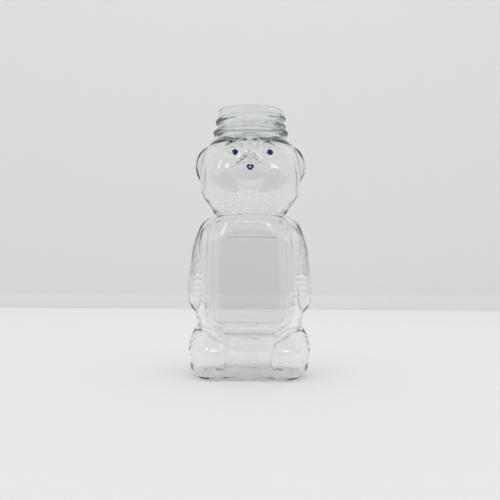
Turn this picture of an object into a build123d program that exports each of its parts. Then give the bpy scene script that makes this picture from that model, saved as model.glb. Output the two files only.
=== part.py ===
"""Bear-shaped squeeze bottle for honey, blown in clear PET, with three printed marks on its face.

Millimetres, +Z up, origin at the middle of the base. The face looks along -Y and the bear's
right side, the photograph's left, is at -X.
"""

import os

from build123d import *

os.makedirs("parts", exist_ok=True)

# Heights, from the base up
waist_height = 84.6
head_height = 41.5
neck_height = 13.3

# Half widths and half depths of the main lobes
torso_half_width = 28.1
torso_half_depth = 23.5
head_half_width = 26.2
head_half_depth = 22.8
arm_half_width = 9.9
arm_half_depth = 14.3
thigh_half_width = 11.0
thigh_half_depth = 16.8
thigh_height = 25.6
foot_half_width = 8.0
foot_half_depth = 12.0
foot_height = 21.4

# Where the arms and legs stand: their middles lie this far inside the torso's side
arm_sink = 5.5
hand_height = 33.0
thigh_sink = 7.3
thigh_forward = 5.0
foot_sink = 11.1
foot_forward = 14.0

# Walls of the blown shell
wall = 0.55
base_wall = 1.2

# Neck finish for a 38 mm screw cap
finish_radius = 17.4
bore_radius = 15.6
thread_radius = 18.75
thread_pitch = 4.23
thread_root_height = 2.9
thread_crest_height = 0.8
thread_top_drop = 2.78
thread_start_angle = -60.0
thread_turns = 1.4
bead_radius = 20.0
bead_drop = 11.6
bead_height = 3.0
neck_radius = 17.05
rim_round = 0.35

# Ears, which stand at a share of the head's height, with their middles inside its side
ear_sink = 4.8
ear_height_share = 0.641
ear_half_width = 8.4
ear_half_depth = 5.0
ear_half_height = 10.2
ear_back = 1.5
ear_tilt = 8.0

# Muzzle, nose and eyes, which stand at shares of the head's height, with their middles inside its front
muzzle_sink = 6.6
muzzle_height_share = 0.41
muzzle_half_width = 15.0
muzzle_half_height = 14.0
muzzle_half_depth = 9.5
nose_radius = 3.2
nose_height_share = 0.523
nose_before_muzzle = 7.4
eye_radius = 3.6
eye_reach = 8.4
eye_height_share = 0.747
eye_sink = 3.8

# Tail
tail_half_width = 8.0
tail_half_depth = 4.4
tail_half_height = 5.0
tail_height = 12.0
tail_sink = 1.0

# Front label panel, sunk by a ledge
ledge = 0.7
label_bottom = 24.8
label_top_drop = 2.4
label_half_width = 21.6
label_side_bow = 1.4
label_top_rise = 1.2
label_corner = 6.0

# Flat label panel on the back
back_label_bottom = 20.8
back_label_top_drop = 11.5
back_label_half_width = 16.1
back_label_sink = 2.2
back_label_corner = 1.5

# Pushed-up middle of the base
push_up_rise = 3.0
push_up_radius = 17.0

# Printed marks
ink = 0.12
eye_dot_radius = 1.6
eye_dot_shift = 0.7
eye_dot_drop = 0.9
nose_mark_half_width = 2.05
nose_mark_foot_half_width = 0.95
nose_mark_height = 3.2
nose_mark_corner = 0.8
nose_mark_hole_radius = 0.6

# What cuts reach past the surface that they cut
overrun = 2.0

# Places that follow from these
head_base = waist_height
head_top = head_base + head_height
rim_height = head_top + neck_height
thread_start_height = rim_height - thread_top_drop - thread_pitch * thread_turns
arm_reach = torso_half_width - arm_sink
thigh_reach = torso_half_width - thigh_sink
foot_reach = torso_half_width - foot_sink
tail_back = torso_half_depth - tail_sink
ear_reach = head_half_width - ear_sink
ear_height = head_base + head_height * ear_height_share
muzzle_height = head_base + head_height * muzzle_height_share
muzzle_forward = head_half_depth - muzzle_sink
nose_height = head_base + head_height * nose_height_share
nose_forward = muzzle_forward + nose_before_muzzle
eye_height = head_base + head_height * eye_height_share
eye_forward = head_half_depth - eye_sink
label_top = waist_height - label_top_drop
label_end_half_width = label_half_width - label_side_bow
back_label_top = waist_height - back_label_top_drop

# Level outlines: share of the height, of the half width, of the half depth and of the corner
torso_shares = [
    (-0.014, 0.74, 0.86, 0.80),
    (0.0, 0.83, 0.94, 0.80),
    (0.02, 0.905, 0.975, 0.80),
    (0.083, 0.96, 0.99, 0.78),
    (0.165, 0.98, 1.0, 0.76),
    (0.33, 0.996, 1.0, 0.74),
    (0.53, 1.0, 0.985, 0.74),
    (0.71, 0.993, 0.965, 0.76),
    (0.83, 0.968, 0.945, 0.80),
    (0.91, 0.90, 0.915, 0.84),
    (0.968, 0.765, 0.855, 0.88),
    (1.02, 0.55, 0.68, 0.90),
]

# Share of the head's height, of its half width, of its half depth and of the corner
head_shares = [
    (-0.09, 0.71, 0.70, 0.97),
    (0.0, 0.738, 0.735, 0.96),
    (0.077, 0.785, 0.80, 0.92),
    (0.202, 0.926, 0.93, 0.82),
    (0.36, 0.99, 0.985, 0.71),
    (0.463, 1.0, 1.0, 0.67),
    (0.566, 0.99, 0.995, 0.67),
    (0.67, 0.965, 0.97, 0.72),
    (0.773, 0.923, 0.93, 0.81),
    (0.867, 0.855, 0.87, 0.90),
    (0.937, 0.745, 0.80, 0.95),
]

# Top of the head under the neck: shares of the neck's radius, across and in depth, and of the corner
crown_width_share = 0.991
crown_depth_share = 0.969
crown_corner_share = 0.98

# From the hand up to the waist: share of that height, of the reach, of the half width and half depth,
# and of the half depth by which the arm stands forward
arm_shares = [
    (0.0, 1.06, 0.45, 0.42, 0.40),
    (0.058, 1.035, 0.76, 0.70, 0.34),
    (0.155, 1.01, 0.96, 0.91, 0.27),
    (0.27, 1.0, 1.0, 1.0, 0.20),
    (0.465, 0.982, 0.95, 1.0, 0.14),
    (0.70, 0.912, 0.94, 0.92, 0.06),
    (0.853, 0.832, 0.86, 0.85, 0.0),
    (0.95, 0.743, 0.66, 0.70, 0.0),
    (1.0, 0.64, 0.38, 0.40, 0.0),
]

# Share of the thigh's height, of the reach, of the half width and of the half depth
thigh_shares = [
    (-0.05, 0.79, 0.50, 0.775),
    (0.0, 0.846, 0.675, 0.87),
    (0.06, 0.904, 0.845, 0.952),
    (0.29, 0.971, 0.955, 0.988),
    (0.53, 1.0, 1.0, 1.0),
    (0.74, 1.015, 0.89, 0.93),
    (0.90, 1.005, 0.69, 0.78),
    (1.0, 0.985, 0.41, 0.57),
]

# Share of the foot's height, of the reach, of the half width, of the half depth and of the corner
foot_shares = [
    (-0.06, 0.918, 0.625, 0.683, 0.84),
    (0.0, 0.953, 0.79, 0.783, 0.80),
    (0.07, 0.988, 0.90, 0.875, 0.78),
    (0.346, 1.0, 0.975, 0.95, 0.79),
    (0.598, 1.0, 1.0, 1.0, 0.78),
    (0.724, 1.0, 0.963, 0.975, 0.80),
    (0.841, 1.0, 0.85, 0.875, 0.85),
    (0.935, 1.0, 0.65, 0.717, 0.92),
    (1.0, 1.0, 0.35, 0.467, 0.93),
]


def torso_form(skin):
    """Torso drawn in by a skin. It reaches below the base, where it is cut off later."""
    with BuildPart() as form:
        for height_share, width_share, depth_share, corner_share in torso_shares:
            height = waist_height * height_share
            half_width = torso_half_width * width_share - skin
            half_depth = torso_half_depth * depth_share - skin
            with BuildSketch(Plane.XY.offset(height)):
                RectangleRounded(2 * half_width, 2 * half_depth, half_depth * corner_share)
        loft()
    return form.part


def head_form(skin):
    """Head without ears and face, drawn in by a skin."""
    crown_half_width = neck_radius * crown_width_share - skin
    crown_half_depth = neck_radius * crown_depth_share - skin
    with BuildPart() as form:
        for height_share, width_share, depth_share, corner_share in head_shares:
            half_width = head_half_width * width_share - skin
            half_depth = head_half_depth * depth_share - skin
            with BuildSketch(Plane.XY.offset(head_base + head_height * height_share)):
                RectangleRounded(2 * half_width, 2 * half_depth, half_depth * corner_share)
        with BuildSketch(Plane.XY.offset(head_top - skin)):
            crown_corner = crown_half_depth * crown_corner_share
            RectangleRounded(2 * crown_half_width, 2 * crown_half_depth, crown_corner)
        loft()
    return form.part


def arm_form(skin):
    """Arm and hand on +X, drawn in by a skin."""
    arm_height = waist_height - hand_height
    first_share = arm_shares[0][0]
    with BuildPart() as form:
        for height_share, reach_share, width_share, depth_share, forward_share in arm_shares:
            height = hand_height + arm_height * height_share
            if height_share == first_share:
                height = height + skin
            middle = (arm_reach * reach_share, -arm_half_depth * forward_share)
            with BuildSketch(Plane.XY.offset(height)):
                with Locations(middle):
                    Ellipse(arm_half_width * width_share - skin, arm_half_depth * depth_share - skin)
        loft()
    return form.part


def thigh_form(skin):
    """Thigh on +X, drawn in by a skin. It reaches below the base, where it is cut off later."""
    last_share = thigh_shares[-1][0]
    with BuildPart() as form:
        for height_share, reach_share, width_share, depth_share in thigh_shares:
            height = thigh_height * height_share
            if height_share == last_share:
                height = height - skin
            with BuildSketch(Plane.XY.offset(height)):
                with Locations((thigh_reach * reach_share, -thigh_forward)):
                    Ellipse(thigh_half_width * width_share - skin, thigh_half_depth * depth_share - skin)
        loft()
    return form.part


def foot_form(skin):
    """Knee and foot on +X, drawn in by a skin. It reaches below the base, where it is cut off later."""
    last_share = foot_shares[-1][0]
    with BuildPart() as form:
        for height_share, reach_share, width_share, depth_share, corner_share in foot_shares:
            height = foot_height * height_share
            half_width = foot_half_width * width_share - skin
            half_depth = foot_half_depth * depth_share - skin
            if height_share == last_share:
                height = height - skin
            with BuildSketch(Plane.XY.offset(height)):
                with Locations((foot_reach * reach_share, -foot_forward)):
                    RectangleRounded(2 * half_width, 2 * half_depth, half_width * corner_share)
        loft()
    return form.part


def lobe_form(half_width, half_depth, half_height, skin):
    """Ellipsoid at the origin, drawn in by a skin."""
    with BuildPart() as form:
        Sphere(1)
        scale(by=(half_width - skin, half_depth - skin, half_height - skin))
    return form.part


def face_form(skin):
    """Head with its muzzle, nose bump and eye bumps, drawn in by a skin."""
    head = head_form(skin)
    muzzle = lobe_form(muzzle_half_width, muzzle_half_depth, muzzle_half_height, skin)
    with BuildPart() as form:
        add(head)
        with Locations((0, -muzzle_forward, muzzle_height)):
            add(muzzle)
        with Locations((0, -nose_forward, nose_height)):
            Sphere(nose_radius - skin)
        with Locations((-eye_reach, -eye_forward, eye_height), (eye_reach, -eye_forward, eye_height)):
            Sphere(eye_radius - skin)
    return form.part


def front_label_form(skin):
    """Block on the outline of the front label panel, widened by a skin, that reaches out past the belly."""
    bottom = label_bottom - skin
    middle = (label_bottom + label_top) / 2
    top = label_top + skin
    end = label_end_half_width + skin
    with BuildPart() as form:
        with BuildSketch(Plane.XZ):
            with BuildLine():
                Line((end, bottom), (-end, bottom))
                ThreePointArc((-end, bottom), (-label_half_width - skin, middle), (-end, top))
                ThreePointArc((-end, top), (0, top + label_top_rise), (end, top))
                ThreePointArc((end, top), (label_half_width + skin, middle), (end, bottom))
            make_face()
            fillet(vertices(), label_corner + skin)
        extrude(amount=torso_half_depth + overrun)
    return form.part


def back_label_form(skin):
    """Block behind the flat label panel on the back, widened by a skin."""
    with BuildPart() as form:
        with BuildSketch(Plane.XZ.offset(skin + back_label_sink - torso_half_depth)):
            with Locations((0, (back_label_bottom + back_label_top) / 2)):
                RectangleRounded(
                    2 * (back_label_half_width + skin),
                    back_label_top - back_label_bottom + 2 * skin,
                    back_label_corner + skin,
                )
        extrude(amount=-back_label_sink - overrun)
    return form.part


def belly_form(skin):
    """Torso with both label panels, drawn in by a skin."""
    torso = torso_form(skin)
    torso_core = torso_form(skin + ledge)
    front_block = front_label_form(skin)
    back_block = back_label_form(skin)
    with BuildPart() as recess:
        add(front_block)
        add(torso_core, mode=Mode.SUBTRACT)
    with BuildPart() as form:
        add(torso)
        add([recess.part, back_block], mode=Mode.SUBTRACT)
    return form.part


def bear_form(skin, floor):
    """Whole bear below the neck finish, drawn in by a skin and cut off at a floor."""
    arm = arm_form(skin)
    thigh = thigh_form(skin)
    foot = foot_form(skin)
    ear = lobe_form(ear_half_width, ear_half_depth, ear_half_height, skin)
    tail = lobe_form(tail_half_width, tail_half_depth, tail_half_height, skin)
    right_ear = ear.moved(Location((ear_reach, ear_back, ear_height), (0, -ear_tilt, 0)))
    lobes = [
        belly_form(skin),
        face_form(skin),
        arm,
        mirror(arm, about=Plane.YZ),
        thigh,
        mirror(thigh, about=Plane.YZ),
        foot,
        mirror(foot, about=Plane.YZ),
        right_ear,
        mirror(right_ear, about=Plane.YZ),
        tail.moved(Location((0, tail_back, tail_height))),
    ]
    push_up_sphere = (push_up_radius**2 + push_up_rise**2) / (2 * push_up_rise)
    with BuildPart() as form:
        add(lobes)
        split(bisect_by=Plane.XY.offset(floor), keep=Keep.TOP)
        with Locations((0, 0, push_up_rise - push_up_sphere)):
            Sphere(push_up_sphere + floor, mode=Mode.SUBTRACT)
    return form.part


def neck_form():
    """Solid neck finish with its bead, rooted in the top of the head."""
    root = head_top - overrun
    bead_edge = bead_radius - bead_height / 2
    bead_middle = rim_height - bead_drop
    bead_under = bead_middle - bead_height / 2
    bead_over = bead_middle + bead_height / 2
    with BuildPart() as form:
        with BuildSketch(Plane.XZ):
            with BuildLine():
                Polyline((0, root), (neck_radius, root), (neck_radius, bead_under), (bead_edge, bead_under))
                ThreePointArc((bead_edge, bead_under), (bead_radius, bead_middle), (bead_edge, bead_over))
                Polyline(
                    (bead_edge, bead_over),
                    (finish_radius, bead_over),
                    (finish_radius, rim_height),
                    (0, rim_height),
                    (0, root),
                )
            make_face()
        revolve(axis=Axis.Z)
    return form.part


def thread_form():
    """Screw thread from height 0 up, starting on +X, rooted inside the neck's wall."""
    root_depth = (finish_radius - bore_radius) / 2
    crest = thread_radius - finish_radius
    with BuildPart() as form:
        with BuildLine() as path:
            Helix(thread_pitch, thread_pitch * thread_turns, finish_radius)
        with BuildSketch(Plane(path.line @ 0, x_dir=(1, 0, 0), z_dir=path.line % 0)):
            with BuildLine():
                Polyline(
                    (-root_depth, -thread_root_height / 2),
                    (crest, -thread_crest_height / 2),
                    (crest, thread_crest_height / 2),
                    (-root_depth, thread_root_height / 2),
                    close=True,
                )
            make_face()
        sweep(is_frenet=True)
    return form.part


outside = bear_form(0, 0)
inside = bear_form(wall, base_wall)
neck = neck_form()
thread = thread_form()
placed_thread = thread.moved(Location((0, 0, thread_start_height), (0, 0, thread_start_angle)))

# The blown shell: the bear with its neck finish, hollowed through the mouth
with BuildPart() as bottle:
    add([outside, neck, placed_thread])
    add(inside, mode=Mode.SUBTRACT)
    with BuildSketch(Plane.XY.offset(head_top - overrun)):
        Circle(bore_radius)
    extrude(amount=neck_height + 2 * overrun, mode=Mode.SUBTRACT)
    fillet(bottle.edges().group_by(Axis.Z)[-1], rim_round)
bottle.part.label = "bottle"
export_step(bottle.part, "parts/bottle.step")

# Printed marks, each a patch of ink that lies on the face
bare_face = face_form(0)
inked_face = face_form(-ink)
print_reach = nose_forward + nose_radius + overrun

with BuildPart() as eye_ink_left:
    with BuildSketch(Plane.XZ):
        with Locations((eye_dot_shift - eye_reach, eye_height - eye_dot_drop)):
            Circle(eye_dot_radius)
    extrude(amount=print_reach)
    add(inked_face, mode=Mode.INTERSECT)
    add(bare_face, mode=Mode.SUBTRACT)
eye_ink_left.part.label = "eye_ink_left"
export_step(eye_ink_left.part, "parts/eye_ink_left.step")

with BuildPart() as eye_ink_right:
    with BuildSketch(Plane.XZ):
        with Locations((eye_reach + 2 * eye_dot_shift, eye_height - eye_dot_drop)):
            Circle(eye_dot_radius)
    extrude(amount=print_reach)
    add(inked_face, mode=Mode.INTERSECT)
    add(bare_face, mode=Mode.SUBTRACT)
eye_ink_right.part.label = "eye_ink_right"
export_step(eye_ink_right.part, "parts/eye_ink_right.step")

with BuildPart() as nose_ink:
    with BuildSketch(Plane.XZ):
        with BuildLine():
            Polyline(
                (-nose_mark_half_width, nose_height + nose_mark_height / 2),
                (nose_mark_half_width, nose_height + nose_mark_height / 2),
                (nose_mark_foot_half_width, nose_height - nose_mark_height / 2),
                (-nose_mark_foot_half_width, nose_height - nose_mark_height / 2),
                close=True,
            )
        make_face()
        fillet(vertices(), nose_mark_corner)
        with Locations((0, nose_height)):
            Circle(nose_mark_hole_radius, mode=Mode.SUBTRACT)
    extrude(amount=print_reach)
    add(inked_face, mode=Mode.INTERSECT)
    add(bare_face, mode=Mode.SUBTRACT)
nose_ink.part.label = "nose_ink"
export_step(nose_ink.part, "parts/nose_ink.step")
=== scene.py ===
"""Honey bear bottle of clear PET, standing on a pale studio sweep.

Its shapes are worked out in millimetres in the bottle's own frame: +Z up, the face towards -Y,
and the origin in the middle of the base. They become metres when a mesh is made.

Each lobe of the bear is a function that gives the distance outside it, which is less than 0 within.
The lobes are joined with fillets, and rays from the bottle's axis find where the blown wall lies.
"""

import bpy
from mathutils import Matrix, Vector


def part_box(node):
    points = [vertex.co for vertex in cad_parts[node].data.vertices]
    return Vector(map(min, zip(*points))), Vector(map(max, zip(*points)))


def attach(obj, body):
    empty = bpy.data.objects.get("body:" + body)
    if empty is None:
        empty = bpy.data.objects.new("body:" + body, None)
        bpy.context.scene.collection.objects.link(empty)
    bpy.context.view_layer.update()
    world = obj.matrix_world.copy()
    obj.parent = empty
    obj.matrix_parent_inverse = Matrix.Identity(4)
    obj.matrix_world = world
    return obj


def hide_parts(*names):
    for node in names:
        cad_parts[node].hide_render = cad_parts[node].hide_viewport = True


bl_info = {
    "name": "Honey Bear Bottle",
    "version": (1, 0, 0),
    "blender": (4, 5, 0),
    "location": "View3D > Sidebar > Honey Bear",
    "description": "Blown bear bottle with its printed face, on a studio sweep",
    "category": "Add Mesh",
}

import math

import bpy
import numpy as np
from bpy.props import FloatProperty, FloatVectorProperty, IntProperty, PointerProperty
from mathutils import Matrix

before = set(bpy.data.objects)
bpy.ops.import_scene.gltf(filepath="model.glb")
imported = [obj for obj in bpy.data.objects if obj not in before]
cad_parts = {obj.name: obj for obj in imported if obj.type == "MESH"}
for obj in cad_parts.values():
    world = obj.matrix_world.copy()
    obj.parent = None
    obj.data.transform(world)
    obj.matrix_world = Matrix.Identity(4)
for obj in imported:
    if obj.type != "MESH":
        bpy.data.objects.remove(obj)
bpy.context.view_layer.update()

MM = 0.001

# Heights of the rim and of the crown, where the neck begins
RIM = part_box("bottle")[1].z / MM
CROWN = RIM - 13.3

# Torso: height, half width, half depth, corner radius
TORSO = [
    (-1.2, 20.8, 20.2, 16.2), (0.0, 23.3, 22.1, 17.7), (1.7, 25.4, 22.9, 18.3),
    (7.0, 27.0, 23.3, 18.1), (14.0, 27.5, 23.5, 17.9), (27.9, 28.0, 23.5, 17.4),
    (44.8, 28.1, 23.15, 17.1), (60.1, 27.9, 22.7, 17.2), (70.2, 27.2, 22.3, 17.8),
    (77.0, 25.3, 21.9, 18.1), (81.9, 21.5, 20.9, 17.7), (86.3, 15.5, 16.0, 14.4),
]

# Head: height, half width, half depth, corner radius
HEAD_LOBE = [
    (80.9, 18.6, 16.0, 15.5), (84.6, 19.3, 16.8, 16.1), (87.8, 20.6, 18.2, 16.8),
    (93.0, 24.3, 21.2, 17.4), (99.5, 25.9, 22.5, 15.9), (103.8, 26.2, 22.8, 15.3),
    (108.1, 25.9, 22.5, 15.2), (112.4, 25.3, 21.7, 15.7), (116.7, 24.2, 20.9, 17.0),
    (120.6, 22.4, 19.8, 17.9), (123.5, 19.5, 18.2, 17.3), (126.1, 16.9, 16.5, 16.2),
]

# Arm and hand: height, reach, half width, half depth, how far forward
ARM = [
    (33.0, 24.0, 4.5, 6.0, 5.7), (36.0, 23.4, 7.5, 10.0, 4.9), (41.0, 22.8, 9.5, 13.0, 3.9),
    (46.9, 22.6, 9.9, 14.3, 2.9), (57.0, 22.2, 9.4, 14.3, 2.0), (69.1, 20.6, 9.3, 13.2, 0.9),
    (77.0, 18.8, 8.5, 12.2, 0.0), (82.0, 16.8, 6.5, 10.0, 0.0), (84.6, 14.5, 3.8, 5.7, 0.0),
]

# Thigh: height, reach, half width, half depth. Foot: the same, and its corner radius
THIGH = [
    (-1.3, 16.4, 5.5, 13.6), (0.0, 17.6, 7.4, 15.3), (1.5, 18.8, 9.3, 16.7),
    (7.4, 20.2, 10.5, 17.3), (13.6, 20.8, 11.0, 17.5), (18.9, 21.1, 9.8, 16.2),
    (23.0, 20.9, 7.5, 13.5), (25.6, 20.5, 4.5, 9.2),
]
FOOT = [
    (-1.3, 16.8, 4.2, 8.0, 3.8), (0.0, 17.2, 5.6, 9.4, 4.6), (1.5, 17.5, 6.6, 10.6, 5.4),
    (7.4, 17.6, 7.4, 11.6, 6.2), (12.8, 17.6, 7.6, 12.1, 6.2), (15.5, 17.6, 7.3, 11.8, 6.2),
    (18.0, 17.5, 6.5, 10.6, 5.8), (20.0, 17.3, 5.0, 8.7, 4.6), (21.4, 17.0, 2.8, 5.6, 2.6),
]
THIGH_FORWARD = 6.0
FOOT_FORWARD = 14.0

# Lobes of the head and the tail: middle, half sizes or radius
EAR = ((21.4, 1.5, 111.2), (8.4, 5.0, 10.2))
EAR_TILT = math.radians(8.0)
MUZZLE = ((0.0, -15.7, 105.2), (12.3, 10.2, 13.0))
NOSE = ((0.0, -23.6, 106.3), 3.2)
EYE = ((8.4, -19.0, 115.6), 3.6)
TAIL = ((0.0, 22.5, 12.0), (8.0, 4.4, 5.0))

# Muzzle: how much fuller its upper half is, and the plane of its ridges, by slopes, front and rise
MUZZLE_FULL = 1.3
RIDGE_SLOPES = (0.52, -0.42, 0.74)
RIDGE_FRONT = -23.4
RIDGE_RISE = 83.5
RIDGE_EDGE = 0.8

# Rounded ends of the head, torso and neck, of the thighs, of the feet and of the hands; fillet of
# each foot
LOBE_EDGE = 1.0
THIGH_EDGE = 3.0
FOOT_EDGE = 1.5
HAND_EDGE = 2.5
FOOT_FILLET = 5.0

# A fade is where something starts and where it is full, or where it begins to end and is gone.
# Squarer back of the shoulders: fades, how much deeper it is, how much smaller its corner radius
SHOULDERS = ((56.0, 70.0), (76.0, 81.0))
SHOULDER_DEPTH = 0.6
SHOULDER_CORNER = 4.5
SIDE_FADE = (0.0, 6.0)

# Lean of the belly's front towards the base: how far, under which height, over which height
LEAN = 0.8
LEAN_TOP = 27.0
LEAN_HEIGHT = 22.0

# Front label panel: ends, half width, corner radius, bow of its sides, arch of its top, and fade
# round the side
LABEL_LOW, LABEL_HIGH = 24.8, 82.2
LABEL_HALF = 21.6
LABEL_CORNER = 6.0
LABEL_BOW = 1.4
LABEL_ARCH = 1.2
LABEL_FADE = (4.0, 8.0)
# Its two steps down: place, half width, share of the blur, and depth of the line there
LABEL_STEPS = ((0.0, 0.22, 1.0, 0.35), (-2.8, 0.2, 0.7, 0.3))
LABEL_LINE = 0.28

# Back label panel: ends, half width, corner radius, how far back it lies, slope and edge round it
BACK_LOW, BACK_HIGH = 20.8, 73.1
BACK_HALF = 16.1
BACK_CORNER = 1.5
BACK_FLAT = 21.7
BACK_SLOPE = 1.3
BACK_EDGE = 0.15

# Strokes on the face, in the front view: start, end, rise and width
FACE_STROKES = (
    ((9.4, 109.8), (14.4, 111.7), 0.3, 0.6),
    ((2.2, 113.0), (9.3, 107.7), -0.6, 0.75),
    ((2.0, 119.8), (5.0, 121.4), -0.45, 0.8),
)
FACE_FADE = (9.0, 13.0)
# Rings round the eyes: middle in the front view, then radius, width and rise of each
SOCKET = (8.4, 115.4)
SOCKET_RINGS = ((4.2, 0.7, -0.3), (2.1, 0.5, 0.15))
# Lower lip: height, rise, half width, curve of the mouth by its rise at a width, edge, fade below
LIP_HEIGHT = 96.1
LIP_RISE = 0.75
LIP_HALF = 5.9
SMILE_RISE, SMILE_WIDTH = 1.6, 5.2
LIP_EDGE = 0.6
LIP_FADE = (-7.0, -1.5)
# Bridge between the eyes: rise, width and fades
BRIDGE_RISE = 0.4
BRIDGE_WIDTH = 1.2
BRIDGE = ((114.5, 116.0), (119.0, 122.0))

# Ledge over each hip: middle and half sizes in the front view, tilt, depth and fades
HIP = (19.4, 23.4)
HIP_HALF = (6.4, 2.0)
HIP_TILT = math.radians(21.0)
HIP_DEPTH = 0.45
HIP_EDGE = (0.8, 1.15)
HIP_FADE = (10.0, 14.0)

# Fingers: height of the lowest, pitch, depth, and fades across, up and round the hand
FINGER_LOW = 39.3
FINGER_PITCH = 3.1
FINGER_DEPTH = 0.42
HAND_ACROSS = ((22.6, 24.2), (26.6, 29.5))
HAND_UP = ((36.5, 38.5), (53.0, 56.0))
HAND_FADE = (3.0, 6.0)

# Fur: radius that its strokes are spread on, pitch, waves (size, per height, per width), breaks
# and groove
FUR_RADIUS = 23.0
FUR_PITCH = 2.1
FUR_WAVES = ((0.35, 0.8, 0.55), (0.2, 0.31, 1.7))
FUR_BREAK = (0.55, 2.4)
FUR_BROKEN = (0.12, 0.45)
FUR_GROOVE = (0.08, 0.3)
FUR_SIDES = ((3.0, 6.0), (6.0, 9.0))
CHEEK_ACROSS, CHEEK_UP = ((12.5, 14.5), (21.0, 23.5)), ((88.0, 90.5), (98.0, 101.0))
NAPE_ACROSS, NAPE_UP, NAPE_SHARE = (17.0, 20.0), ((78.0, 79.5), (83.0, 84.5)), 1.2
THIGH_ACROSS, THIGH_UP, THIGH_SHARE = (23.5, 25.5), ((12.0, 14.0), (20.5, 22.5)), 0.6
# Slanted strokes on the thighs: slope, pitch, wave (size, per width, per height) and groove
THIGH_SLANT = (0.75, 0.66)
THIGH_PITCH = 1.7
THIGH_WAVE = (0.2, 0.7, 0.6)
THIGH_GROOVE = (0.1, 0.3)

# Joins of the lobes: fillet's radius, what a millimetre of fold adds to it, depth of its line
MUZZLE_JOIN = (0.0, 0.4, 1.4)
NOSE_JOIN = (0.0, 0.9, 0.2)
EYE_JOIN = (0.0, 0.6, 0.8)
EAR_JOIN = (2.6, 0.2, 0.0)
ARM_JOIN = (1.8, 0.4, 0.25)
LEG_JOIN = (0.0, 0.5, 1.3)
TAIL_JOIN = (1.2, 0.4, 0.0)
WAIST_JOIN = (0.0, 0.8, 0.0)
NECK_JOIN = (1.6, 0.4, 0.0)
SEAM_DEPTH = 0.3
SEAM_WIDTH = 0.55
# Where the muzzle's line runs, across and up; where the legs' line runs, across and round the side
RIDGE_ACROSS, RIDGE_UP = (0.8, 2.4), (105.0, 108.5)
LEG_ACROSS, LEG_FRONT = (17.0, 20.0), (12.0, 16.0)
# The legs' join grows softer towards the back
LEG_SOFT = 5.0
LEG_SOFT_FADE = (-12.0, -4.0)

# Push-up in the middle of the base, and the rounded edges of it and of the foot ring
PUSH_RADIUS = 17.0
PUSH_RISE = 3.0
PUSH_EDGE = 1.6
BASE_EDGE = 0.9

# Neck finish
BORE = 15.6
FINISH = 17.4
THREAD = 18.75
PITCH = 4.23
THREAD_START = RIM - 8.7
THREAD_ANGLE = math.radians(-60.0)
THREAD_TURNS = 1.4
THREAD_FLANK = (0.45, 1.45)
THREAD_RUN_OUT = (-0.01, 0.1)
NECK_FOOT = 17.05
NECK_ROOT = 6.0
BEAD = RIM - 11.6
BEAD_MIDDLE = 18.5
BEAD_RADIUS = 1.5
RIM_ROUND = 0.35
LAND = (16.2, 16.8)

# Rays that find the wall: height they fan out from, start, reach of the fan and of the level ones,
# and halvings
FAN_HEIGHT = 12.0
RAY_START = 2.0
FAN_REACH = 60.0
LEVEL_REACH = 48.0
HALVINGS = 22
# Where columns and rows lie closer together: angle from the front or height, width, how much
DENSE_ANGLES = ((43.4, 1.9, 4.0), (38.3, 1.8, 2.5), (25.0, 5.0, 0.4), (143.4, 1.3, 3.0))
DENSE_HEIGHTS = (
    (24.9, 0.7, 4.0), (27.6, 0.7, 2.5), (83.0, 0.9, 4.0), (80.3, 0.9, 2.0), (20.8, 0.6, 2.0),
    (73.1, 0.6, 2.0),
)
# Whole stretches where they lie closer together: ends, and how much
FACE_ANGLES, FACE_COLUMNS = (55.0, 80.0), 0.6
FACE_HEIGHTS, FACE_ROWS = ((90.0, 95.0), (121.0, 124.0)), 0.7
LEG_HEIGHTS, LEG_ROWS = (21.0, 25.0), 0.4
SAMPLES = 4096
# Fans of rays over the base, in degrees below the level: ends of the steep ones, then how many of
# these, and start and number of the shallow ones, outside and inside
FAN_STEEP = (88.0, 40.0)
FAN_OUTSIDE = (9, 36.0, 21)
FAN_INSIDE = (7, 34.0, 10)

# Ink: places in the front view, where its wall is looked for, columns and rings, lifts off the wall
EYE_INKS = ((-7.3, 114.4), (10.1, 114.4))
NOSE_INK = (0.4, 106.3)
INK_FRONT, INK_BACK = -34.0, -8.0
INK_COLUMNS, INK_RINGS = 48, 9
INK_UNDER, INK_OVER = 0.02, 0.03
INK_SLOPE_STEP = 0.05

# Dots under the chin and pits in the sleeves, in metres: where each fade starts and is full
BIB_FRONT, BIB_SIDE, BIB_LOW = (-0.006, -0.009), (0.018, 0.015), (0.0848, 0.0856)
BIB_TOP, BIB_ARCH = (0.0968, 0.0952), 26.0
SLEEVE_SIDE, SLEEVE_LOW, SLEEVE_HIGH = (0.0262, 0.0282), (0.051, 0.056), (0.079, 0.075)
# Their edges within a cell of the pattern, and their heights
DOT_EDGE, PIT_EDGE = (0.5, 0.28), (0.45, 0.15)
DOT_HEIGHT, PIT_HEIGHT = 0.1, -1.4

# Sweep, in metres: half width, front edge, back, radius of its turn, top
SWEEP_HALF = 0.42
SWEEP_FRONT = -0.185
SWEEP_BACK = 0.49
SWEEP_TURN = 0.02
SWEEP_TOP = 0.43
# Depth over which its painted shade runs, and the stops: place, share of the table's or backdrop's
# colour. The table is painted a little darker towards its front edge, and the backdrop darker at
# its foot, where it turns up.
CARD_DEPTH = (-0.4, 0.52)
TABLE_SHADE = ((0.2, 0.94), (0.93, 1.0))
BACKDROP_SHADE = ((0.95, 0.82), (0.9638, 0.87), (0.9674, 1.0))

# Room: where it turns from front to back, where the ceiling starts and turns, and its front's light
ROOM_TURN = (-0.75, 0.25)
CEILING_EDGE, CEILING_TURN, CEILING_FRONT = (28.0, 50.0), (-0.3, 0.3), 0.12
# Where it is darker below the level in front, and by how much
FLOOR_EDGE, FLOOR_TURN, FLOOR_DARKER = (2.0, -8.0), (0.1, -0.4), -0.6
# Patches of the room, in degrees: left, right, low, high, and how soft their edges are
CAMERA_SIDE = (-34.0, 34.0, -17.0, 16.0, 1.0)
STRIP = (-14.0, 28.0, 18.0, 25.0, 0.7)
WINDOW = (-46.0, -36.0, 18.0, 36.0, 0.7)
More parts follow.
